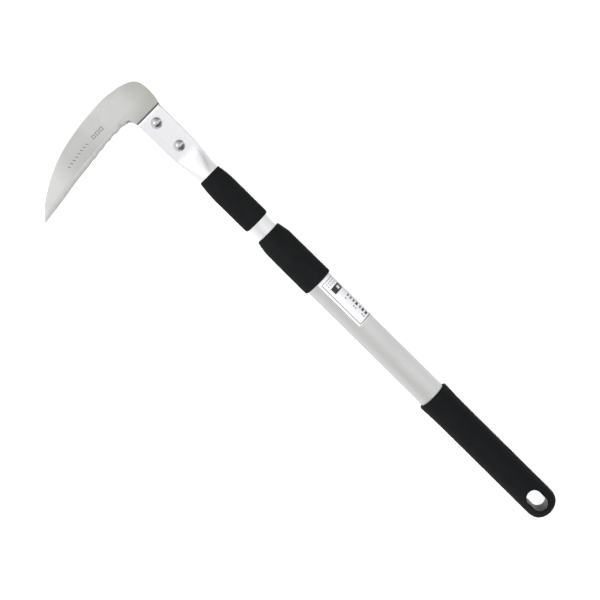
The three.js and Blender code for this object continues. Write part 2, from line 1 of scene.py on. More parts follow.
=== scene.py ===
"""The hand sickle's visible surfaces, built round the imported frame.

Shapes are drawn in millimetres along the tool's own axes, as the part is: x runs from just behind
the butt end towards the blade, y points to the side of the blade's tip, z is square to the blade.
"""
import json
import math

import bmesh
import bpy
import numpy as np
from mathutils import Matrix, Vector, noise


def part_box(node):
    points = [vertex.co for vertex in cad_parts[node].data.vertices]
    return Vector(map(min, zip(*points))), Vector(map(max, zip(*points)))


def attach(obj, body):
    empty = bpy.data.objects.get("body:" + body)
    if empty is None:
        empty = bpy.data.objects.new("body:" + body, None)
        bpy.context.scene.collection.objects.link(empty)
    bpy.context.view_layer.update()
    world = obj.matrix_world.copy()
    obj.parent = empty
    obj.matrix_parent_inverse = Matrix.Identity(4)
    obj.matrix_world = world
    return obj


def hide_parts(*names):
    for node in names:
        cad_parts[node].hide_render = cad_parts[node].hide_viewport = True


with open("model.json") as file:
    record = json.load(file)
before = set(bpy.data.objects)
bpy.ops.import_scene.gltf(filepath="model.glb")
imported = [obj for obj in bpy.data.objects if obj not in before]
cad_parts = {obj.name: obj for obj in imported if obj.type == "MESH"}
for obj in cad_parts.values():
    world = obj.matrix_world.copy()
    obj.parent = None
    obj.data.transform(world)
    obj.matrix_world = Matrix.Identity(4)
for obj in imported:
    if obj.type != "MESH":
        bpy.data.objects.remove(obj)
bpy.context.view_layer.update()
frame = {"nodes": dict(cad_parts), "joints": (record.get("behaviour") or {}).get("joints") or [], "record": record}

MM = 0.001
TAU = math.tau

# ---------------------------------------------------------------- driving sizes
#
# A size that has the same name in the part has the same value there, except INNER_RIB_DEPTH: the
# inner tube's ribs are finer and shallower here. The blade's edge is thinner than the part's, and
# the hanging hole's rims are rounded.

GRIP_START = 1.8
GRIP_MOUTH = 165.2
GRIP_RADIUS = 16.1
GRIP_MOUTH_RADIUS = 17.0
GRIP_FLARE_LENGTH = 34.0
GRIP_END_LENGTH = 16.5
GRIP_END_FULLNESS = 2.6
GRIP_END_THICKNESS = 28.4
GRIP_EDGE_ROUND = 7.0
GRIP_FLAT_FROM = 12.0
GRIP_FLAT_TO = 44.0
GRIP_FLAT_FULLNESS = 2.3
GRIP_BORE_START = 37.6
GRIP_BORE_RADIUS = 14.25
HOLE_START = 9.1
HOLE_LENGTH = 23.5
HOLE_WIDTH = 15.2
HOLE_LIP_WIDTH = 3.1
HOLE_LIP_HEIGHT = 0.7
HOLE_RIM_ROUND = 1.2
SLOT_CENTRES = (HOLE_START + HOLE_WIDTH / 2, HOLE_START + HOLE_LENGTH - HOLE_WIDTH / 2)
SLOT_REACH = 24.0                  # past both faces of the grip
SHEEN_WALL_REACH = 0.35                # how far outside the slot a face still counts as its wall
SHEEN_WALL_STOP = 0.8                  # and how far below the grip's face the wall ends
MOUTH_ROUND = 1.0
REMESH_STEP = 0.45

OUTER_START = 40.4
OUTER_END = 378.0
OUTER_RADIUS = 14.0
OUTER_BORE = 12.8
OUTER_RIBS = 44
OUTER_RIB_DEPTH = 0.16

MIDDLE_START = 322.4
MIDDLE_END = 391.1
MIDDLE_RADIUS = 16.2
MIDDLE_SHOULDER = 380.0
MIDDLE_SHOULDER_RADIUS = 15.6
MIDDLE_TIP_RADIUS = 13.7
MIDDLE_ROUND = 2.0
MIDDLE_LIP_START = 381.0

INNER_START = 142.0
INNER_RADIUS = 11.0
INNER_WALL = 1.2
INNER_RIBS = 36
INNER_RIB_DEPTH = 0.1
PRESS_START = 468.0
PRESS_THIN = 503.0
PRESS_WIDE = 510.0
HEAD_END = 552.7
HEAD_HALF_THICKNESS = 2.5
HEAD_HALF_WIDTH = 14.5
HEAD_MOUTH_HALF_WIDTH = 14.9
FLAT_SHARE = 0.36
PRESS_OVAL_SHARE = 0.5
UPPER_START = 405.6
UPPER_END = 470.8
UPPER_RADIUS = 14.1
UPPER_TIP_RADIUS = 12.2
UPPER_TAPER = 22.0
UPPER_ROUND = 2.6

BLADE_HALF = 1.0
EDGE_HALF = 0.05
BEVEL_WIDTH = 5.6
SECOND_BEVEL = 0.7                 # the narrow bevel at the very edge
NECK_BEVEL = 0.5
NECK_EDGE_HALF = BLADE_HALF - 0.3
CORNER_EASE = 0.35
POINT_SHARE = 0.055                # of the thickness that is left at the point
POINT_WIDTH = 14.0                 # the blade thins towards its point from this width
SHOULDER = HEAD_END + 0.3
TANG_END = 504.5
TANG_HALF_WIDTH = 12.0
TIP = (551.2, 145.6)
BACK_OUTLINE = (TIP, (558.7, 138.9), (566.4, 129), (577.6, 109.6), (586.4, 86.7), (591.7, 60.1),
                (593.9, 37), (594.3, 18), (591.7, 1.3))
CROWN_OUTLINE = ((591.7, 1.3), (587.1, -10), (580.4, -15.7), (571, -17.3), (562, -16.9),
                 (SHOULDER, -15))
EDGE_OUTLINE = ((550.4, 145), (553.3, 121), (556.7, 98), (558.7, 78), (560.1, 62), (561.9, 42),
                (561.4, 21.3))
NECK_OUTLINE = ((561.4, 21.3), (559.9, 18.2), (557.5, 16.2), (SHOULDER, 14.9))
WAVE_PITCH = 10.5
WAVE_COUNT = 5
WAVE_START = 22.9
WAVE_DEPTH = 1.2
CHOIL = Vector((560.2, 18.9))
CHOIL_RADIUS = 0.8
GRAIN_CENTRE = (428.6, 34.2)       # the blade's satin lines run in arcs about this point
GRAIN_RADIUS = 150                 # of the arc along which the grain's length is measured

NECK_TONE = (-14, 14)              # where the blade's tone changes, along y
HEEL_TONE = (24, 34)
DULL_TONE = (34, 62)
WORN_TONE = (84, 108)

ETCHING_LINE = ((575.6, 42), (574.8, 66), (571.8, 90))
ETCHING_PLACES = 13
SQUARE_COUNT = 3
SQUARE_SPACING = 1.2
SQUARE_SIDE = ((-1.9, -1.9), (1.9, -1.9), (1.9, -1.3), (-1.9, -1.3))
FIRST_DASH = 5
DASH = ((-1.5, -0.9), (-0.9, -1.2), (1.5, 0.7), (0.9, 1.2))
ETCHING_SINK = 0.1
ETCHING_RISE = 0.012

FRONT_RIVET_X = 541.7
REAR_RIVET_X = 511.0
RIVET_RADIUS = 2.5
RIVET_HEAD_RADIUS = 5.6
RIVET_HEAD_HEIGHT = 3.2
RIVET_RIM = 0.35                   # the straight edge under the dome
RIVET_TAIL_RADIUS = 4.2
RIVET_TAIL_HEIGHT = 1.5
WASHER_THICKNESS = 0.8
TOUCH = 0.2

LABEL_START = 265.0
LABEL_END = 321.5
LABEL_RADIUS = OUTER_RADIUS + 0.06
LABEL_THICKNESS = 0.14
LABEL_TOP = LABEL_RADIUS + LABEL_THICKNESS
LABEL_FROM = 86.0                  # degrees round the tube, from the tip's side over the top
LABEL_TO = 232.0
INK_SINK = 0.04
INK_DEPTH = 0.055
BLOCK_ENDS = (303.2, 310.2)
WINDOW_ENDS = (305.0, 308.4)
BLOCK_TURNS = (110, 136, 150, 163)  # degrees: the block's foot, its window's two edges, its head
WIDE_DASHES = (269.6, 273.9, 282.2)
NARROW_DASHES = (277.6, 286.4, 290.4, 294.2)
SHORT_DASHES = (268.9, 271.4, 280.2, 282.9, 294.0)
MARK_COLUMNS = (312.4, 315.2)


# ---------------------------------------------------------------- the tool's own frame

def tool_frame():
    """Millimetres along the tool's axes to metres in the row frame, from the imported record."""
    record = frame["record"]
    up = Vector(next(m["axis"] for m in record["mounts"] if m["name"] == "blade_face"))
    hinge = next(j for j in frame["joints"] if j["name"] == "lock_twist")
    along = Vector(hinge["axis"])
    side = up.cross(along)
    origin = Vector(hinge["pos_m"])
    origin.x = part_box("outer_tube")[0].x - OUTER_START * MM
    axes = Matrix((along, side, up)).transposed().to_4x4()
    return Matrix.Translation(origin) @ axes @ Matrix.Scale(MM, 4)


TOOL = tool_frame()


def smooth(start, end, x):
    share = min(1.0, max(0.0, (x - start) / (end - start)))
    return share * share * (3 - 2 * share)


def mix(a, b, share):
    return a + (b - a) * share


def steps(start, end, count):
    return [mix(start, end, i / (count - 1)) for i in range(count)]


# ---------------------------------------------------------------- mesh helpers

def add_piece(name, mesh, material, body, stands_for=(), crease=40):
    """A mesh drawn in the tool's frame becomes a piece that rides on a body."""
    mesh.transform(TOOL)
    mesh.shade_smooth()
    mesh.set_sharp_from_angle(angle=math.radians(crease))
    for one in material if isinstance(material, (list, tuple)) else [material]:
        mesh.materials.append(one)
    piece = bpy.data.objects.new(name, mesh)
    bpy.context.scene.collection.objects.link(piece)
    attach(piece, body)
    if stands_for:
        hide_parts(*stands_for)
    return piece


def mesh_of(name, points, faces, indices=None):
    mesh = bpy.data.meshes.new(name)
    mesh.from_pydata([tuple(p) for p in points], [], faces)
    if indices is not None:
        mesh.polygons.foreach_set("material_index", indices)
    outward(mesh)
    return mesh


def outward(mesh):
    work = bmesh.new()
    work.from_mesh(mesh)
    bmesh.ops.recalc_face_normals(work, faces=work.faces)
    work.to_mesh(mesh)
    work.free()


def band(a, b, count):
    return [(a + i, b + i, b + (i + 1) % count, a + (i + 1) % count) for i in range(count)]


def loft(name, rings, kinds=None):
    """A closed solid through rings of equally many points; kinds gives each strip's material."""
    count = len(rings[0])
    faces = []
    for k in range(len(rings) - 1):
        faces += band(k * count, (k + 1) * count, count)
    last = (len(rings) - 1) * count
    indices = list(kinds) * (len(rings) - 1) + [0, 0] if kinds else None
    faces += [tuple(range(count))[::-1], tuple(range(last, last + count))]
    return mesh_of(name, [p for ring in rings for p in ring], faces, indices)


def closed_loop(name, rings):
    """A solid with a hole through it: each ring joins the next and the last joins the first."""
    count = len(rings[0])
    faces = []
    for k in range(len(rings)):
        faces += band(k * count, (k + 1) % len(rings) * count, count)
    return mesh_of(name, [p for ring in rings for p in ring], faces)


def hollow(name, outside, inside):
    """A tube through two runs of rings: out along the outside and back along the inside."""
    return closed_loop(name, list(outside) + list(inside)[::-1])


def circle(x, radius, count, shape=None):
    points = []
    for i in range(count):
        angle = TAU * i / count
        r = radius + (shape(x, angle) if shape else 0)
        points.append((x, r * math.cos(angle), r * math.sin(angle)))
    return points


def turned(name, profile, shape, skin_from, count=144):
    """A ring turned about the handle's axis from (x, radius) points, shaped beyond one radius."""
    return closed_loop(name, [circle(x, radius, count, shape if radius > skin_from else None)
                              for x, radius in profile])


def arc(x, radius, size, start, end, count=8):
    return [(x + size * math.cos(math.radians(a)), radius + size * math.sin(math.radians(a)))
            for a in steps(start, end, count)]


def spline(points, shares):
    """Points at equal shares of the length of a Catmull-Rom curve."""
    fine = []
    for i in range(len(points) - 1):
        near = [Vector(points[max(0, min(len(points) - 1, i + k))]) for k in (-1, 0, 1, 2)]
        for t in steps(0, 1, 61)[:-1]:
            fine.append(catmull_rom(near, t))
    fine.append(Vector(points[-1]))
    lengths = np.cumsum([0] + [(b - a).length for a, b in zip(fine, fine[1:])])
    xs = np.interp(np.array(shares) * lengths[-1], lengths, [p.x for p in fine])
    ys = np.interp(np.array(shares) * lengths[-1], lengths, [p.y for p in fine])
    return [Vector((x, y)) for x, y in zip(xs, ys)]


def catmull_rom(near, t):
    before, a, b, after = near
    leave, arrive = (b - before) / 2, (after - a) / 2
    return ((2 * a - 2 * b + leave + arrive) * t ** 3
            + (-3 * a + 3 * b - 2 * leave - arrive) * t ** 2 + leave * t + a)


# ---------------------------------------------------------------- materials

def linear(red, green, blue):
    def channel(value):
        share = value / 255
        return share / 12.92 if share <= 0.04045 else ((share + 0.055) / 1.055) ** 2.4
    return (channel(red), channel(green), channel(blue), 1.0)


PAINTED_SHADE_TONE = linear(70, 68, 64)       # painted shade for the blade's corners: where it enters the head and round the choil


class Nodes:
    """Adds nodes to a tree. An input is given a value, or another node's output to follow."""

    def __init__(self, tree):
        self.tree = tree

    def node(self, kind, settings=(), **inputs):
        made = self.tree.nodes.new(kind)
        for key, value in dict(settings).items():
            setattr(made, key, value)
        for key, value in inputs.items():
            self.feed(made.inputs[key.replace("_", " ")], value)
        return made

    def feed(self, socket, value):
        if isinstance(value, bpy.types.NodeSocket):
            self.tree.links.new(value, socket)
        else:
            socket.default_value = value

    def math(self, operation, a, b=0.0, c=0.0):
        made = self.node("ShaderNodeMath", {"operation": operation})
        for socket, value in zip(made.inputs, (a, b, c)):
            self.feed(socket, value)
        return made.outputs[0]

    def ranged(self, value, low, high, start=0.3, end=0.7, interpolation="LINEAR"):
        made = self.node("ShaderNodeMapRange", {"interpolation_type": interpolation}, Value=value)
        made.inputs["From Min"].default_value = start
        made.inputs["From Max"].default_value = end
        made.inputs["To Min"].default_value = low
        made.inputs["To Max"].default_value = high
        return made.outputs[0]


class Surface(Nodes):
    """A principled material whose textures are laid out in the tool's frame, in millimetres."""

    def __init__(self, name, **sockets):
        self.material = bpy.data.materials.new(name)
        self.material.use_nodes = True
        super().__init__(self.material.node_tree)
        self.shader = next(n for n in self.tree.nodes if n.type == "BSDF_PRINCIPLED")
        for socket, value in sockets.items():
            self.shader.inputs[socket.replace("_", " ")].default_value = value
        self.millimetres = self.tool_coordinates()
        self.height = None

    def tool_coordinates(self):
        place, turn, size = TOOL.inverted().decompose()
        metres = self.node("ShaderNodeTexCoord").outputs["Object"]
        mapping = self.node("ShaderNodeMapping", Vector=metres)
        mapping.inputs["Location"].default_value = place
        mapping.inputs["Rotation"].default_value = turn.to_euler()
        mapping.inputs["Scale"].default_value = size
        return mapping.outputs[0]

    def stretched(self, scale, source=None):
        made = self.node("ShaderNodeVectorMath", {"operation": "MULTIPLY"})
        self.feed(made.inputs[0], source or self.millimetres)
        made.inputs[1].default_value = scale
        return made.outputs[0]

    def noise(self, scale, detail=3.0, roughness=0.5, source=None):
        """Noise whose cells are 1 / scale millimetres along x, y and z."""
        made = self.node("ShaderNodeTexNoise", Vector=self.stretched(scale, source))
        made.inputs["Scale"].default_value = 1.0
        made.inputs["Detail"].default_value = detail
        made.inputs["Roughness"].default_value = roughness
        return made.outputs[0]

    def cells(self, scale):
        made = self.node("ShaderNodeTexVoronoi", Vector=self.stretched(scale))
        made.inputs["Scale"].default_value = 1.0
        return made.outputs["Distance"]

    def blend(self, share, a, b):
        made = self.node("ShaderNodeMix", {"data_type": "RGBA"})
        self.feed(made.inputs[0], share)
        self.feed(made.inputs[6], a)
        self.feed(made.inputs[7], b)
        return made.outputs[2]

    def colour(self, value):
        self.feed(self.shader.inputs["Base Color"], value)
        return self

    def roughness(self, value):
        self.feed(self.shader.inputs["Roughness"], value)
        return self

    def bump(self, height, depth_mm, strength=1.0):
        made = self.node("ShaderNodeBump", Height=height)
        made.inputs["Distance"].default_value = depth_mm * MM
        made.inputs["Strength"].default_value = strength
        if self.height is not None:
            self.feed(made.inputs["Normal"], self.height)
        self.height = made.outputs[0]
        self.feed(self.shader.inputs["Normal"], self.height)
        return self


def aluminium(name, dark, light, streak, low, high, streak_depth):
    """Drawn tube: fine lengthwise die lines under a soft satin, with a few longer streaks."""
    s = Surface(name, Metallic=1.0)
    lines = s.noise((0.012, 2.6, 2.6), 4)
    streaks = s.noise((0.004, 0.42, 0.42), 2)
    clouds = s.noise((0.02, 0.09, 0.09), 3)
    tone = s.blend(s.ranged(lines, 0, 1), dark, light)
    s.colour(s.blend(s.ranged(streaks, 0, 0.6), tone, streak))
    sheen = s.math("MULTIPLY_ADD", clouds, 0.5, s.math("MULTIPLY", lines, 0.5))
    s.roughness(s.ranged(sheen, low, high))
    return s.bump(lines, 0.012).bump(streaks, streak_depth, 0.5).material


def arc_grain(surface, across, along):
    """Coordinates that follow the blade: millimetres across and along its arc."""
    parts = surface.node("ShaderNodeSeparateXYZ", Vector=surface.millimetres)
    dx = surface.math("SUBTRACT", parts.outputs[0], GRAIN_CENTRE[0])
    dy = surface.math("SUBTRACT", parts.outputs[1], GRAIN_CENTRE[1])
    radius = surface.math("SQRT", surface.math("ADD", surface.math("MULTIPLY", dx, dx),
                                               surface.math("MULTIPLY", dy, dy)))
    angle = surface.math("ARCTAN2", dy, dx)
    made = surface.node("ShaderNodeCombineXYZ")
    surface.feed(made.inputs[0], surface.math("MULTIPLY", radius, across))
    surface.feed(made.inputs[1], surface.math("MULTIPLY", angle, along * GRAIN_RADIUS))
    surface.feed(made.inputs[2], parts.outputs[2])
    return made.outputs[0]


def choil_painted_shade(surface):
    """The share of painted shade round the choil, the corner where the ground edge starts."""
    apart = surface.node("ShaderNodeVectorMath", {"operation": "DISTANCE"})
    surface.feed(apart.inputs[0], surface.millimetres)
    apart.inputs[1].default_value = (CHOIL.x + 0.9, CHOIL.y, BLADE_HALF)
    return surface.ranged(apart.outputs["Value"], 0.75, 0, CHOIL_RADIUS, CHOIL_RADIUS + 2.2)


def satin_steel():
    """Satin-brushed stainless: soft clouds, duller then brighter towards the tip, warm at the neck."""
    s = Surface("satin_steel", Metallic=1.0)
    hairs = s.noise((1, 1, 1), 5, 0.6, arc_grain(s, 4.5, 0.05))
    brush = s.noise((1, 1, 1), 3, 0.5, arc_grain(s, 1.1, 0.02))
    clouds = s.noise((0.045, 0.045, 0.1), 3)
    x, y, _ = s.node("ShaderNodeSeparateXYZ", Vector=s.millimetres).outputs
    tone = s.blend(s.ranged(hairs, 0, 1), linear(216, 216, 214), linear(231, 231, 229))
    tone = s.blend(s.ranged(clouds, 0, 0.5), tone, linear(200, 200, 199))
    tone = s.blend(s.ranged(y, 0, 0.55, *DULL_TONE), tone, linear(194, 194, 193))
    tone = s.blend(s.ranged(y, 0, 0.64, *WORN_TONE), tone, linear(241, 241, 240))
    tone = s.blend(s.ranged(y, 0.8, 0, *NECK_TONE), tone, linear(188, 188, 180))
    at_heel = s.ranged(y, 1, 0, *HEEL_TONE)
    heel = s.ranged(x, 0.6, 0, SHOULDER + 2, SHOULDER + 17)
    tone = s.blend(s.math("MULTIPLY", at_heel, heel), tone, linear(182, 182, 176))
    # painted shade: a dark band across the blade's neck where it enters the head's mouth, with the choil's painted
    # shade laid over it
    mouth_band_shade = s.ranged(x, 0.88, 0, SHOULDER + 0.8, SHOULDER + 1.9)
    mouth_shade = s.math("MULTIPLY", at_heel, mouth_band_shade)
    s.colour(s.blend(s.math("MAXIMUM", mouth_shade, choil_painted_shade(s)), tone, PAINTED_SHADE_TONE))
    sheen = s.math("MULTIPLY_ADD", brush, 0.6, s.math("MULTIPLY", clouds, 0.4))
    s.roughness(s.ranged(sheen, 0.3, 0.46))
    return s.bump(hairs, 0.01).bump(brush, 0.02, 0.6).material


def ground_steel():
    """The ground bevel: fine wheel marks that run across the edge."""
    s = Surface("ground_steel", Metallic=1.0)
    marks = s.noise((1, 1, 1), 4, 0.6, arc_grain(s, 0.12, 3.6))
    clouds = s.noise((0.08, 0.08, 0.1), 3)
    tone = s.blend(s.ranged(marks, 0, 1), linear(232, 231, 229), linear(244, 244, 242))
    tone = s.blend(s.ranged(clouds, 0, 0.7), tone, linear(218, 217, 214))
    # painted shade round the choil, as on the satin flats
    s.colour(s.blend(choil_painted_shade(s), tone, PAINTED_SHADE_TONE))
    s.roughness(s.ranged(marks, 0.3, 0.46))
    return s.bump(marks, 0.012).material


def polished_steel():
    """Rivets and washers: nearly a mirror, with faint swirls."""
    s = Surface("polished_steel", Metallic=1.0)
    swirls = s.noise((1.6, 1.6, 1.6), 4)
    s.colour(s.blend(s.ranged(swirls, 0, 1), linear(197, 198, 200), linear(212, 213, 215)))
    s.roughness(s.ranged(swirls, 0.06, 0.13))
    return s.bump(swirls, 0.004, 0.4).material


def foam():
    """Closed-cell foam rubber: fine pores at the skin, soft mottling, almost no shine."""
    s = Surface("foam_rubber", Specular_IOR_Level=0.14)
    pores = s.cells((2.3, 2.3, 2.3))
    skin = s.noise((0.9, 0.9, 0.9), 4)
    clouds = s.noise((0.05, 0.12, 0.12), 3)
    tone = s.blend(s.ranged(skin, 0, 1), linear(17, 18, 19), linear(24, 25, 25))
    s.colour(s.blend(s.ranged(clouds, 0, 0.5), tone, linear(29, 30, 31)))
    s.roughness(s.ranged(skin, 0.82, 0.96))
    return s.bump(pores, 0.07, 0.6).bump(skin, 0.1, 0.5).material


def moulded_rubber():
    """Moulded grip: a fine even grain over slow unevenness, and a faint parting line."""
    s = Surface("moulded_rubber", Specular_IOR_Level=0.14)
    grain = s.cells((3.4, 3.4, 3.4))
    skin = s.noise((0.35, 0.35, 0.35), 4)
    height = s.node("ShaderNodeSeparateXYZ", Vector=s.millimetres).outputs[2]
    parting = s.ranged(s.math("ABSOLUTE", height), 1, 0, 0.08, 0.3)
    s.colour(s.blend(s.ranged(skin, 0, 1), linear(14, 15, 16), linear(21, 22, 23)))
    s.roughness(s.ranged(skin, 0.66, 0.84))
    return s.bump(grain, 0.04, 0.5).bump(skin, 0.06, 0.4).bump(parting, 0.1, 0.7).material


def hole_wall_painted_sheen():
    """The smooth wall of the hanging hole, glossier than the grained outside, and given a painted sheen: a mid
    grey base colour that stands in for the grazing light and reflection on it.
    """
    s = Surface("hole_wall_painted_sheen", Specular_IOR_Level=0.42)
    skin = s.noise((0.5, 0.5, 0.25), 4)
    # painted sheen: far lighter than the grip's black rubber, for the light the wall catches at a grazing angle
    s.colour(s.blend(s.ranged(skin, 0, 1), linear(68, 70, 70), linear(82, 84, 84)))
    s.roughness(s.ranged(skin, 0.42, 0.54))
    return s.bump(skin, 0.05, 0.4).material


def plastic(name, light, dark, rough):
    s = Surface(name)
    skin = s.noise((0.5, 0.5, 0.5), 3)
    s.colour(s.blend(s.ranged(skin, 0, 1), light, dark))
    s.roughness(s.ranged(skin, rough - 0.06, rough + 0.08))
    return s.bump(s.noise((2.2, 2.2, 2.2), 2), 0.02, 0.4).material


def printed(name, tone, rough=0.42):
    s = Surface(name)
    grain = s.noise((3, 3, 3), 2)
    s.colour(s.blend(s.ranged(grain, 0, 0.25), tone, linear(90, 90, 90)))
    s.roughness(s.ranged(grain, rough - 0.05, rough + 0.05))
    return s.material


def label_film():
    s = Surface("label_film", Coat_Weight=0.2, Coat_Roughness=0.3)
    fibres = s.noise((0.8, 0.8, 0.8), 4)
    s.colour(s.blend(s.ranged(fibres, 0, 1), linear(220, 220, 222), linear(231, 231, 233)))
    s.roughness(s.ranged(fibres, 0.34, 0.46))
    return s.bump(s.noise((0.02, 1.5, 1.5), 2), 0.015, 0.5).material


ALUMINIUM = aluminium("drawn_aluminium", linear(209, 209, 205), linear(226, 226, 222),
                      linear(216, 216, 222), 0.24, 0.38, 0.03)
BRIGHT_ALUMINIUM = aluminium("bright_aluminium", linear(241, 241, 243), linear(251, 251, 252),
                             linear(246, 246, 249), 0.24, 0.36, 0.008)
SATIN_STEEL = satin_steel()
GROUND_STEEL = ground_steel()
POLISHED_STEEL = polished_steel()
FOAM = foam()
MOULDED_RUBBER = moulded_rubber()
HOLE_WALL_PAINTED_SHEEN = hole_wall_painted_sheen()
NATURAL_PLASTIC = plastic("natural_plastic", linear(228, 226, 218), linear(238, 236, 230), 0.45)
GREY_PLASTIC = plastic("grey_plastic", linear(80, 84, 88), linear(94, 97, 100), 0.5)
SEAL_RUBBER = plastic("seal_rubber", linear(20, 20, 20), linear(28, 28, 28), 0.6)
LABEL_FILM = label_film()
BLACK_INK = printed("black_ink", linear(14, 14, 13))
GREY_INK = printed("grey_ink", linear(92, 92, 98))
PALE_INK = printed("pale_ink", linear(142, 142, 150))
ETCHING = printed("etched_steel", linear(104, 104, 101), 0.6)


# ---------------------------------------------------------------- blade

def inset_at(point, neck=False):
    """How far the waves and the choil cut in from the smooth inner outline."""
    into = CHOIL_RADIUS ** 2 - (point - CHOIL).length ** 2
    notch = math.sqrt(into) if into > 0 else 0.0
    turns = (point.y - WAVE_START) / WAVE_PITCH
    if neck or turns < 0 or turns > WAVE_COUNT:
        return notch
    fade = mix(1, 0.45, turns / WAVE_COUNT)
    return max(notch, WAVE_DEPTH * fade * (1 - math.cos(turns * TAU)) / 2)


def blade_ring(back, inner, bevel, edge_half, inset):
    """The section from the back to the inner side: crisp bevels and slightly eased corners."""
    width = (back - inner).length
    across = (back - inner) / width
    half = BLADE_HALF * min(1.0, max(POINT_SHARE, width / POINT_WIDTH))
    edge_half = min(edge_half, half * 0.5) if width < POINT_WIDTH else edge_half
    bevel = min(bevel, width * 0.45)
    secondary = min(inset + SECOND_BEVEL, mix(inset, bevel, 0.6))
    rise = mix(edge_half, half, 0.2)
    ease = min(CORNER_EASE, half * 0.35)
    half_section = [(width, half - ease), (width - ease * 0.34, half - ease * 0.28),
                    (width - min(0.4, width * 0.1), half), (mix(bevel, width, 0.08), half),
                    (bevel, half - 0.015 * half), (secondary, rise), (inset, edge_half)]
    ring = []
    for reach, z in half_section + [(r, -z) for r, z in half_section[::-1]]:
        point = inner + across * reach
        ring.append((point.x, point.y, z))
    return ring


def blade_rings():
    shares = steps(0, 0.4, 40)[:-1] + steps(0.4, 1, 220)
    backs = spline(BACK_OUTLINE, shares)
    inners = spline(EDGE_OUTLINE, shares)
    rings = [blade_ring(b, e, BEVEL_WIDTH, EDGE_HALF, inset_at(e)) for b, e in zip(backs, inners)]
    shares = steps(0.01, 1, 90)
    for share, b, e in zip(shares, spline(CROWN_OUTLINE, shares), spline(NECK_OUTLINE, shares)):
        fade = smooth(0, 0.3, share)
        bevel = mix(BEVEL_WIDTH, NECK_BEVEL, fade)
        rings.append(blade_ring(b, e, bevel, mix(EDGE_HALF, NECK_EDGE_HALF, fade), inset_at(e, True)))
    for x, half in ((SHOULDER - 0.03, TANG_HALF_WIDTH), (TANG_END, TANG_HALF_WIDTH - 1)):
        back, inner = Vector((x, -half)), Vector((x, half))
        rings.append(blade_ring(back, inner, NECK_BEVEL, NECK_EDGE_HALF, 0))
    return rings


def make_blade():
    satin, ground = 0, 1
    mesh = loft("blade_steel", blade_rings(), [satin] * 4 + [ground] * 5 + [satin] * 5)
    add_piece("blade_steel", mesh, [SATIN_STEEL, GROUND_STEEL], "head", ("blade",), 12)


def slab(points, faces, corners, low, high):
    """Adds a thin prism over a flat outline."""
    first = len(points)
    count = len(corners)
    points += [(x, y, low) for x, y in corners] + [(x, y, high) for x, y in corners]
    faces += [tuple(range(first, first + count))[::-1], tuple(range(first + count, first + 2 * count))]
    faces += band(first, first + count, count)


def make_etching():
    """Plain etched marks: three open squares and a run of slanted dashes."""
    points, faces = [], []
    low, high = BLADE_HALF - ETCHING_SINK, BLADE_HALF + ETCHING_RISE
    line = spline(ETCHING_LINE, steps(0, 1, ETCHING_PLACES))
    for i, centre in enumerate(line[:SQUARE_COUNT]):
        for turn in range(4):
            c, s = math.cos(turn * TAU / 4), math.sin(turn * TAU / 4)
            side = [(centre.x + x * c - y * s, centre.y + i * SQUARE_SPACING + x * s + y * c)
                    for x, y in SQUARE_SIDE]
            slab(points, faces, side, low, high)
    for centre in line[FIRST_DASH:]:
        slab(points, faces, [(centre.x + x, centre.y + y) for x, y in DASH], low, high)
    add_piece("blade_etching", mesh_of("blade_etching", points, faces), ETCHING, "head")


# ---------------------------------------------------------------- rivets

def dome(radius, height, count):
    """A cap's (radius, height) points, from its rim to its crown."""
    sphere = (radius ** 2 + height ** 2) / (2 * height)
    reach = math.asin(min(1, radius / sphere))
    return [(sphere * math.sin(a), sphere * math.cos(a) - sphere + height)
            for a in steps(reach, 0.02, count)]


def standing_rings(profile, x, count=72):
    """Rings square to the blade at x, from (radius, z) points."""
    return [[(x + r * math.cos(TAU * i / count), r * math.sin(TAU * i / count), z)
             for i in range(count)] for r, z in profile]


def make_rivet(name, x):
    seat = HEAD_HALF_THICKNESS + 0.1
    tail = -HEAD_HALF_THICKNESS - WASHER_THICKNESS - TOUCH * 2
    crown = dome(RIVET_HEAD_RADIUS - 0.1, RIVET_HEAD_HEIGHT - RIVET_RIM, 20)
    head = [(r, seat + RIVET_RIM + h) for r, h in crown]
    foot = [(r, tail - h) for r, h in dome(RIVET_TAIL_RADIUS, RIVET_TAIL_HEIGHT, 14)]
    shank = [(RIVET_RADIUS, tail), (RIVET_RADIUS, seat)]
    rim = [(RIVET_HEAD_RADIUS - 0.1, seat), (RIVET_HEAD_RADIUS, seat + 0.1),
           (RIVET_HEAD_RADIUS, seat + 0.25)]
    mesh = loft(name, standing_rings(foot[::-1] + shank + rim + head, x))
    add_piece(f"{name}_steel", mesh, POLISHED_STEEL, "head", (name,))


def make_washer(name, x):
    top = -HEAD_HALF_THICKNESS - TOUCH
    bottom = top - WASHER_THICKNESS
    bore, edge = RIVET_RADIUS + 0.3, RIVET_HEAD_RADIUS
    profile = [(bore, bottom + 0.1), (RIVET_RADIUS + 0.4, bottom), (edge - 0.2, bottom),
               (edge, bottom + 0.2), (edge, top), (bore, top)]
    mesh = closed_loop(name, standing_rings(profile, x))
    add_piece(f"{name}_steel", mesh, POLISHED_STEEL, "head", (name,))


# ---------------------------------------------------------------- tubes

def eased(value, sharpness=4.0):
    """Close to the value below 1 and to 1 above it, with a soft bend between."""
    return value / (1 + abs(value) ** sharpness) ** (1 / sharpness)


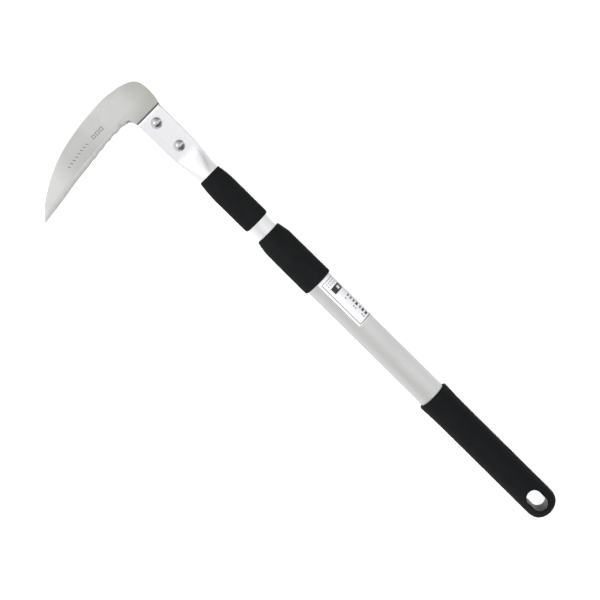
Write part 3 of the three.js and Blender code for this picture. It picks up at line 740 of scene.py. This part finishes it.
def inner_ring(x, inset, ribbed, count):
    """The inner tube's section at x: ribbed and round, then pressed to the head's flat one."""
    flatness = smooth(PRESS_START, PRESS_THIN, x)
    half_thickness = mix(INNER_RADIUS, HEAD_HALF_THICKNESS, flatness)
    half_width = mix(INNER_RADIUS, HEAD_HALF_WIDTH, smooth(PRESS_START, PRESS_WIDE, x))
    half_width += (HEAD_MOUTH_HALF_WIDTH - HEAD_HALF_WIDTH) * smooth(PRESS_THIN, HEAD_END, x)
    spread = half_width - half_thickness
    oval = PRESS_OVAL_SHARE * (1 - flatness ** 6)
    pole = math.sqrt(1 - FLAT_SHARE ** 2)
    ring = []
    for i in range(count):
        angle = TAU * i / count
        groove = (0.5 - 0.5 * math.cos(angle * INNER_RIBS)) ** 2
        round_ = half_thickness - inset - INNER_RIB_DEPTH * ribbed * (1 - 0.98 * flatness) * groove
        along = eased(math.cos(angle) / FLAT_SHARE)
        flat = eased(math.sin(angle) / pole) / eased(1 / pole)
        width = spread * mix(along, math.cos(angle), oval) + round_ * math.cos(angle)
        height = mix(mix(math.sin(angle), flat, flatness), math.sin(angle), oval)
        ring.append((x, width, round_ * height))
    return ring


def make_inner_tube():
    count = INNER_RIBS * 12
    press = steps(PRESS_START, PRESS_THIN, 40)
    stations = [INNER_START, INNER_START + 0.3, 400] + press + steps(PRESS_THIN + 1, HEAD_END - 0.3, 24)
    outside = [inner_ring(x, 0, 1, count) for x in stations]
    outside[0] = inner_ring(INNER_START, 0.3, 1, count)
    outside.append(inner_ring(HEAD_END, 0.25, 1, count))
    inside = [inner_ring(x, INNER_WALL, 0, count) for x in stations + [HEAD_END]]
    mesh = hollow("inner_tube_drawn", outside, inside)
    add_piece("inner_tube_drawn", mesh, BRIGHT_ALUMINIUM, "head", ("inner_tube",), 50)


def outer_rib(_, angle):
    return -OUTER_RIB_DEPTH * (0.5 - 0.5 * math.cos(angle * OUTER_RIBS)) ** 3


def make_outer_tube():
    count = OUTER_RIBS * 10
    ease = 0.3
    outside = [circle(OUTER_START, OUTER_RADIUS - ease, count, outer_rib)]
    outside += [circle(x, OUTER_RADIUS, count, outer_rib)
                for x in steps(OUTER_START + ease, OUTER_END - ease, 12)]
    outside += [circle(OUTER_END, OUTER_RADIUS - ease, count, outer_rib)]
    inside = [circle(ring[0][0], OUTER_BORE, count) for ring in outside]
    mesh = hollow("outer_tube_drawn", outside, inside)
    add_piece("outer_tube_drawn", mesh, ALUMINIUM, "handle", ("outer_tube",), 50)


# ---------------------------------------------------------------- foam sleeves

def foam_swell(x, angle):
    """Slow unevenness of a foam sleeve stretched over a tube."""
    place = Vector((x * 0.06, math.cos(angle) * 1.3, math.sin(angle) * 1.3))
    fine = Vector((x * 0.5, math.cos(angle) * 6, math.sin(angle) * 6))
    return 0.16 * noise.noise(place) + 0.05 * noise.noise(fine)


def filled(profile, gap=0.9):
    """The same run of points with extra ones, so that no step is longer than the gap."""
    points = []
    for (x0, r0), (x1, r1) in zip(profile, profile[1:] + profile[:1]):
        count = max(1, math.ceil(math.hypot(x1 - x0, r1 - r0) / gap))
        points += [(mix(x0, x1, i / count), mix(r0, r1, i / count)) for i in range(count)]
    return points


def make_upper_sleeve():
    bore = INNER_RADIUS + TOUCH
    profile = [(UPPER_START, bore)]
    profile += arc(UPPER_START + UPPER_ROUND, UPPER_RADIUS - UPPER_ROUND, UPPER_ROUND, 180, 90)
    for share in steps(0, 1, 9):
        x = mix(UPPER_END - UPPER_TAPER, UPPER_END - 0.7, share)
        profile.append((x, mix(UPPER_RADIUS, UPPER_TIP_RADIUS + 0.1, share ** 1.8)))
    profile += [(UPPER_END - 0.2, UPPER_TIP_RADIUS - 0.25), (UPPER_END, UPPER_TIP_RADIUS - 0.6),
                (UPPER_END, bore)]
    mesh = turned("upper_foam", filled(profile), foam_swell, bore + 0.1)
    sleeve = add_piece("upper_foam", mesh, FOAM, "head", ("upper_sleeve",))


def make_middle_sleeve():
    seat = OUTER_RADIUS + TOUCH
    lip = INNER_RADIUS + 0.35
    profile = [(MIDDLE_START, seat)]
    profile += arc(MIDDLE_START + MIDDLE_ROUND, MIDDLE_RADIUS - MIDDLE_ROUND, MIDDLE_ROUND, 180, 90)
    profile += [(mix(MIDDLE_START, MIDDLE_SHOULDER, 0.6), MIDDLE_RADIUS - 0.1),
                (MIDDLE_SHOULDER - 5, MIDDLE_SHOULDER_RADIUS + 0.3)]
    for share in steps(0, 1, 8):
        x = mix(MIDDLE_SHOULDER - 2, MIDDLE_END - 0.8, share)
        profile.append((x, mix(MIDDLE_SHOULDER_RADIUS + 0.15, MIDDLE_TIP_RADIUS, share ** 1.3)))
    profile += [(MIDDLE_END - 0.2, MIDDLE_TIP_RADIUS - 0.3), (MIDDLE_END, MIDDLE_TIP_RADIUS - 0.8),
                (MIDDLE_END, lip), (MIDDLE_LIP_START, lip), (MIDDLE_LIP_START, seat)]
    mesh = turned("middle_foam", filled(profile), foam_swell, seat + 0.1)
    sleeve = add_piece("middle_foam", mesh, FOAM, "handle", ("middle_sleeve",))


# ---------------------------------------------------------------- moulded grip

def rounding(radius, into):
    """How far a quarter-round edge drops, this far into it."""
    return radius - math.sqrt(radius ** 2 - max(0.0, into) ** 2)


def grip_radius(x):
    flare = max(0.0, x - GRIP_MOUTH + GRIP_FLARE_LENGTH) / GRIP_FLARE_LENGTH
    edge = rounding(MOUTH_ROUND, x - GRIP_MOUTH + MOUTH_ROUND)
    return mix(GRIP_RADIUS, GRIP_MOUTH_RADIUS, flare ** 2) - edge


def grip_half_thickness(x):
    edge = rounding(GRIP_EDGE_ROUND, GRIP_START + GRIP_EDGE_ROUND - x)
    fade = smooth(GRIP_FLAT_FROM, GRIP_FLAT_TO, x)
    return mix(GRIP_END_THICKNESS / 2, grip_radius(x), fade) - edge


def grip_ring(x, swell, count=120):
    away = max(0.0, 1 - (x - GRIP_START) / GRIP_END_LENGTH)
    width = grip_radius(x) * (1 - away ** GRIP_END_FULLNESS) ** (1 / GRIP_END_FULLNESS) + swell
    height = grip_half_thickness(x) + swell
    power = 2 / mix(GRIP_FLAT_FULLNESS, 2, smooth(GRIP_FLAT_FROM, GRIP_FLAT_TO, x))
    ring = []
    for i in range(count):
        c, s = math.cos(TAU * i / count), math.sin(TAU * i / count)
        ring.append((x, width * math.copysign(abs(c) ** power, c),
                     height * math.copysign(abs(s) ** power, s)))
    return ring


def grip_body(name, swell=0.0):
    end = [GRIP_START + GRIP_END_LENGTH * share ** 2 for share in steps(0.06, 1, 40)]
    middle = steps(GRIP_START + GRIP_END_LENGTH + 1.5, GRIP_FLAT_TO, 16)
    flare = steps(GRIP_MOUTH - GRIP_FLARE_LENGTH, GRIP_MOUTH - MOUTH_ROUND, 14)
    mouth = [GRIP_MOUTH - MOUTH_ROUND + MOUTH_ROUND * share for share in (0.3, 0.55, 0.75, 0.9, 1)]
    return loft(name, [grip_ring(x, swell) for x in end + middle + flare + mouth])


def slot_outline(grow):
    radius = HOLE_WIDTH / 2 + grow
    near, far = SLOT_CENTRES
    outline = []
    for centre, start in ((far, -90), (near, 90)):
        outline += [(centre + radius * math.cos(math.radians(a)), radius * math.sin(math.radians(a)))
                    for a in steps(start, start + 180, 33)]
    return outline


def slot_prism(name, grow):
    """A round-ended bar through the grip, square to the blade."""
    return loft(name, [[(x, y, z) for x, y in slot_outline(grow)] for z in (-SLOT_REACH, SLOT_REACH)])


def slot_cutter(name):
    """The hanging hole itself, widening where its rims are rounded."""
    rings = [[(x, y, -SLOT_REACH) for x, y in slot_outline(HOLE_RIM_ROUND)]]
    for turn in steps(-90, 90, 14):
        sine, cosine = math.sin(math.radians(turn)), math.cos(math.radians(turn))
        ring = []
        for x, y in slot_outline(HOLE_RIM_ROUND * (1 - cosine)):
            straight = grip_half_thickness(x) + HOLE_LIP_HEIGHT - HOLE_RIM_ROUND
            ring.append((x, y, math.copysign(straight, turn) + HOLE_RIM_ROUND * sine))
        rings.append(ring)
    rings.append([(x, y, SLOT_REACH) for x, y in slot_outline(HOLE_RIM_ROUND)])
    return loft(name, rings)


def combined(base, other, operation):
    """The base mesh after a boolean with the other one."""
    objects = [bpy.data.objects.new("work", mesh) for mesh in (base, other)]
    for each in objects:
        bpy.context.scene.collection.objects.link(each)
    modifier = objects[0].modifiers.new("boolean", "BOOLEAN")
    modifier.operation = operation
    modifier.object = objects[1]
    modifier.solver = "EXACT"
    mesh = evaluated(objects[0])
    for each in objects:
        bpy.data.objects.remove(each)
    return mesh


def evaluated(obj):
    graph = bpy.context.evaluated_depsgraph_get()
    return bpy.data.meshes.new_from_object(obj.evaluated_get(graph))


def softened(mesh, step, rounds):
    """Remeshed evenly and smoothed, so that every edge gets a small moulded radius."""
    work = bpy.data.objects.new("work", mesh)
    bpy.context.scene.collection.objects.link(work)
    remesh = work.modifiers.new("remesh", "REMESH")
    remesh.mode = "VOXEL"
    remesh.voxel_size = step
    ease = work.modifiers.new("ease", "SMOOTH")
    ease.factor = 0.5
    ease.iterations = rounds
    result = evaluated(work)
    bpy.data.objects.remove(work)
    return result


def on_slot_wall(face):
    """Whether a face of the grip is part of the hanging hole's wall."""
    near, far = SLOT_CENTRES
    x, y, z = face.center
    reach = math.hypot(x - min(max(x, near), far), y)
    return reach < HOLE_WIDTH / 2 + SHEEN_WALL_REACH and abs(z) < grip_half_thickness(x) - SHEEN_WALL_STOP


def make_grip():
    swollen = grip_body("swollen", HOLE_LIP_HEIGHT)
    lip = combined(slot_prism("lip", HOLE_LIP_WIDTH), swollen, "INTERSECT")
    body = combined(grip_body("grip"), lip, "UNION")
    body = combined(body, slot_cutter("slot"), "DIFFERENCE")
    bore = loft("bore", [circle(x, GRIP_BORE_RADIUS, 96) for x in (GRIP_BORE_START, GRIP_MOUTH + 5)])
    mesh = softened(combined(body, bore, "DIFFERENCE"), REMESH_STEP, 8)
    mesh.name = "grip_moulding"
    mesh.materials.clear()
    for face in mesh.polygons:
        face.material_index = 1 if on_slot_wall(face) else 0
    # index 1 is the hole's wall, which takes the painted-sheen material
    add_piece("grip_moulding", mesh, [MOULDED_RUBBER, HOLE_WALL_PAINTED_SHEEN], "handle",
              ("handle_grip",), 60)


# ---------------------------------------------------------------- label

def wrapped(points, faces, x0, x1, angle0, angle1, low, high):
    """Adds a thin plate bent round the tube, between two places along it and two angles round it."""
    count = max(2, math.ceil(abs(angle1 - angle0) / 3) + 1)
    angles = [math.radians(a) for a in steps(angle0, angle1, count)]
    first = len(points)
    for radius in (low, high):
        for x in (x0, x1):
            points += [(x, radius * math.cos(a), radius * math.sin(a)) for a in angles]
    low0, low1, high0, high1 = (first + k * count for k in range(4))
    for i in range(count - 1):
        faces += [(low0 + i, low0 + i + 1, low1 + i + 1, low1 + i),
                  (high0 + i, high1 + i, high1 + i + 1, high0 + i + 1),
                  (low0 + i, high0 + i, high0 + i + 1, low0 + i + 1),
                  (low1 + i, low1 + i + 1, high1 + i + 1, high1 + i)]
    end = count - 1
    faces += [(low0, low1, high1, high0), (low0 + end, high0 + end, high1 + end, low1 + end)]


def make_label():
    points, faces = [], []
    wrapped(points, faces, LABEL_START, LABEL_END, LABEL_FROM, LABEL_TO, LABEL_RADIUS, LABEL_TOP)
    film = mesh_of("label_print_film", points, faces)
    add_piece("label_print_film", film, LABEL_FILM, "handle", ("label",))


def print_on_label(name, marks, ink):
    """Flat ink on the film: each mark is x from, x to, angle from, angle to."""
    points, faces = [], []
    low = LABEL_TOP - INK_SINK
    for x0, x1, a0, a1 in marks:
        wrapped(points, faces, x0, x1, a0, a1, low, low + INK_DEPTH)
    add_piece(name, mesh_of(name, points, faces), ink, "handle")


def label_border():
    inner_from, inner_to = LABEL_FROM + 7.5, LABEL_TO - 3
    x0, x1 = LABEL_START + 0.5, LABEL_END - 2.6
    return [(x0, x1, inner_from, inner_from + 3.4), (x0, x1, inner_to - 3.4, inner_to),
            (x0, x0 + 0.9, inner_from, inner_to), (x1 - 0.6, x1, inner_from, inner_to)]


def dashes(centres, width, low, high):
    """Plain dashes of one width, centred at these places along the label."""
    return [(x - width / 2, x + width / 2, low, high) for x in centres]


def label_block():
    """A plain block with a square window in it."""
    x0, x1 = BLOCK_ENDS
    window0, window1 = WINDOW_ENDS
    foot, sill, lintel, head = BLOCK_TURNS
    return [(x0, x1, foot, sill), (x0, window0, sill, lintel), (window1, x1, sill, lintel),
            (x0, x1, lintel, head)]


def column_marks():
    """Two columns of small marks."""
    turns = [108 + i * 11 for i in range(5)]
    return [(x, x + 1.4, turn, turn + 5) for turn in turns for x in MARK_COLUMNS]


def ruled_lines():
    """Thin lines that stand for small print."""
    return [(270, 300, 176 + i * 9, 178 + i * 9) for i in range(5)]


def make_print():
    print_on_label("label_border_print", label_border(), GREY_INK)
    print_on_label("label_block_print", label_block() + dashes(WIDE_DASHES, 2.5, 142, 160), BLACK_INK)
    light = dashes(NARROW_DASHES, 1.8, 143, 159) + dashes(SHORT_DASHES, 1.7, 127, 132)
    print_on_label("label_rule_print", light, GREY_INK)
    print_on_label("label_pale_print", column_marks() + ruled_lines(), PALE_INK)


# ---------------------------------------------------------------- carried-over pieces

def finish_hidden_pieces():
    """Materials for the pieces that keep the meshes they were packed with."""
    looks = {"tube_plug": GREY_PLASTIC, "mouth_bush": NATURAL_PLASTIC, "lock_ring": NATURAL_PLASTIC,
             "guide_collar": NATURAL_PLASTIC, "lock_core": GREY_PLASTIC, "drag_ring": SEAL_RUBBER,
             "core_pin": ALUMINIUM, "lock_washer": POLISHED_STEEL, "lock_screw": POLISHED_STEEL}
    for name, material in looks.items():
        for each in frame["nodes"][name].material_slots:
            each.material = material


# ---------------------------------------------------------------- floor, light and camera

FLOOR_REACH = 4.0                 # metres, as the lamps' places are
FLOOR_TONE = (0.93, 0.93, 0.93, 1)

FILL_PLACE = (0.1, -0.1, 5.0)
FILL_POWER = 3.46
FILL_SPREAD = 44                  # degrees
KEY_PLACE = (-0.9, 1.4, 1.8)
KEY_POWER = 34
KEY_SIZE = 1.6

EYE = Vector((478.169, -174.028, 1944.444))
AIM = Vector((322.910, 24.638, 0))
PICTURE_TURN = 44.67              # degrees from the tool's length to the picture's rows
CAMERA_ROLL = 0.004002            # radians
LENS = 121.007
SENSOR_WIDTH = 36

ZENITH_LIGHT = 1.02
NEAR_LOW, NEAR_HIGH = 0.7, 1.0    # the tent's foot on the side away from the tip
TIP_LOW, TIP_HIGH = 0.98, 1.0     # and on the tip's side
FLAG_LIGHT = 0.2                  # a dark flag towards the butt
CORNER_LIGHT = 0.46               # a greyer corner beyond the blade, away from the tip
BAND_LIGHT = 0.76                 # a greyer band of the tent's wall on the tip's side
BAND_SLANT = -0.6
SOFTBOX_TO = Vector((0.42, 0.55, 0.72)).normalized()
SOFTBOX_LIGHT = 1.3


def make_floor():
    reach = FLOOR_REACH
    points = [(-reach, -reach, 0), (reach, -reach, 0), (reach, reach, 0), (-reach, reach, 0)]
    mesh = bpy.data.meshes.new("floor")
    mesh.from_pydata(points, [], [(0, 1, 2, 3)])
    floor = bpy.data.objects.new("floor", mesh)
    bpy.context.scene.collection.objects.link(floor)
    material = bpy.data.materials.new("pale_floor")
    material.use_nodes = True
    shader = next(n for n in material.node_tree.nodes if n.type == "BSDF_PRINCIPLED")
    shader.inputs["Base Color"].default_value = FLOOR_TONE
    shader.inputs["Roughness"].default_value = 0.9
    shader.inputs["Specular IOR Level"].default_value = 0.1
    mesh.materials.append(material)
    floor.visible_glossy = False


class Tent(Nodes):
    """The surroundings: how bright they are in each direction."""

    def __init__(self):
        world = bpy.data.worlds.new("tent")
        bpy.context.scene.world = world
        world.use_nodes = True
        world.cycles_visibility.diffuse = False
        super().__init__(world.node_tree)
        self.background = next(n for n in self.tree.nodes if n.type == "BACKGROUND")
        self.heading = self.node("ShaderNodeTexCoord").outputs["Generated"]
        self.along, self.side, self.up = self.node("ShaderNodeSeparateXYZ", Vector=self.heading).outputs

    def eased(self, value, low, high, start, end):
        return self.ranged(value, low, high, start, end, "SMOOTHSTEP")

    def mixed(self, share, a, b):
        return self.node("ShaderNodeMix", Factor=share, A=a, B=b).outputs["Result"]

    def either(self, a, b):
        return self.math("MAXIMUM", a, b)

    def dome(self):
        """White overhead and greyer at the foot, more so on the side away from the tip."""
        near = self.eased(self.along, NEAR_HIGH, NEAR_LOW, -0.2, 0.02)
        far = self.eased(self.along, TIP_LOW, TIP_HIGH, -0.2, 0.02)
        foot = self.mixed(self.eased(self.side, 0.0, 1.0, -0.12, 0.12), near, far)
        return self.mixed(self.eased(self.up, 0.0, 1.0, 0.0, 0.9), foot, ZENITH_LIGHT)

    def flag(self):
        clear_above = self.eased(self.up, 0.0, 1.0, 0.78, 0.94)
        clear_below = self.eased(self.up, 1.0, 0.0, 0.05, 0.3)
        shade = self.eased(self.along, FLAG_LIGHT, 1.0, -0.46, -0.24)
        return self.either(shade, self.either(clear_above, clear_below))

    def corner(self):
        shade = self.eased(self.side, CORNER_LIGHT, 1.0, -0.7, 0.24)
        return self.either(shade, self.eased(self.along, 1.0, 0.0, 0.1, 0.4))

    def band(self):
        slanted = self.math("MULTIPLY_ADD", self.along, BAND_SLANT, self.side)
        shade = self.eased(slanted, 1.0, BAND_LIGHT, 0.1, 0.32)
        return self.either(shade, self.eased(self.up, 1.0, 0.0, 0.28, 0.42))

    def softbox(self):
        facing = self.node("ShaderNodeVectorMath", {"operation": "DOT_PRODUCT"})
        self.feed(facing.inputs[0], self.heading)
        self.feed(facing.inputs[1], SOFTBOX_TO)
        return self.eased(facing.outputs["Value"], 0.0, SOFTBOX_LIGHT, 0.94, 0.98)


def make_world():
    """A soft white tent with a dark flag, a greyer corner, a greyer band and a small softbox."""
    tent = Tent()
    shades = tent.math("MULTIPLY", tent.corner(), tent.band())
    walls = tent.math("MULTIPLY", tent.math("MULTIPLY", tent.dome(), tent.flag()), shades)
    tent.feed(tent.background.inputs["Strength"], tent.math("ADD", tent.softbox(), walls))
    tent.background.inputs["Color"].default_value = (1, 1, 1, 1)


def add_lamp(name, kind, place, power):
    """A lamp that points at the middle of the floor."""
    data = bpy.data.lights.new(name, kind)
    data.energy = power
    light = bpy.data.objects.new(name, data)
    bpy.context.scene.collection.objects.link(light)
    light.location = place
    light.rotation_mode = "QUATERNION"
    light.rotation_quaternion = (-Vector(place)).to_track_quat("-Z", "Y")
    light.visible_glossy = False
    return data


def make_lamps():
    """A broad fill without shadows, and a soft key that casts the tool's shadow."""
    fill = add_lamp("fill", "SUN", FILL_PLACE, FILL_POWER)
    fill.angle = math.radians(FILL_SPREAD)
    fill.use_shadow = False
    key = add_lamp("key", "AREA", KEY_PLACE, KEY_POWER)
    key.shape = "DISK"
    key.size = KEY_SIZE


def make_camera():
    """Almost straight above the middle of the tool, which runs across the picture's diagonal."""
    turn = math.radians(PICTURE_TURN)
    view = (AIM - EYE).normalized()
    right = Vector((-math.cos(turn), -math.sin(turn), 0))
    right = (right - view * right.dot(view)).normalized()
    down = view.cross(right)
    level_right = right * math.cos(CAMERA_ROLL) - down * math.sin(CAMERA_ROLL)
    level_down = down * math.cos(CAMERA_ROLL) + right * math.sin(CAMERA_ROLL)
    spin = TOOL.to_3x3() @ Matrix((level_right, -level_down, -view)).transposed()
    data = bpy.data.cameras.new("main")
    data.sensor_width = SENSOR_WIDTH
    data.lens = LENS
    camera = bpy.data.objects.new("main", data)
    bpy.context.scene.collection.objects.link(camera)
    camera.location = TOOL @ EYE
    camera.rotation_mode = "QUATERNION"
    camera.rotation_quaternion = (spin * (1 / MM)).to_quaternion()
    bpy.context.scene.camera = camera


# ---------------------------------------------------------------- everything

make_camera()
make_floor()
make_world()
make_lamps()
bpy.context.scene.view_settings.view_transform = "Standard"

make_blade()
make_etching()
make_inner_tube()
make_rivet("front_rivet", FRONT_RIVET_X)
make_rivet("rear_rivet", REAR_RIVET_X)
make_washer("front_washer", FRONT_RIVET_X)
make_washer("rear_washer", REAR_RIVET_X)
make_upper_sleeve()
make_outer_tube()
make_middle_sleeve()
make_grip()
make_label()
make_print()
finish_hidden_pieces()
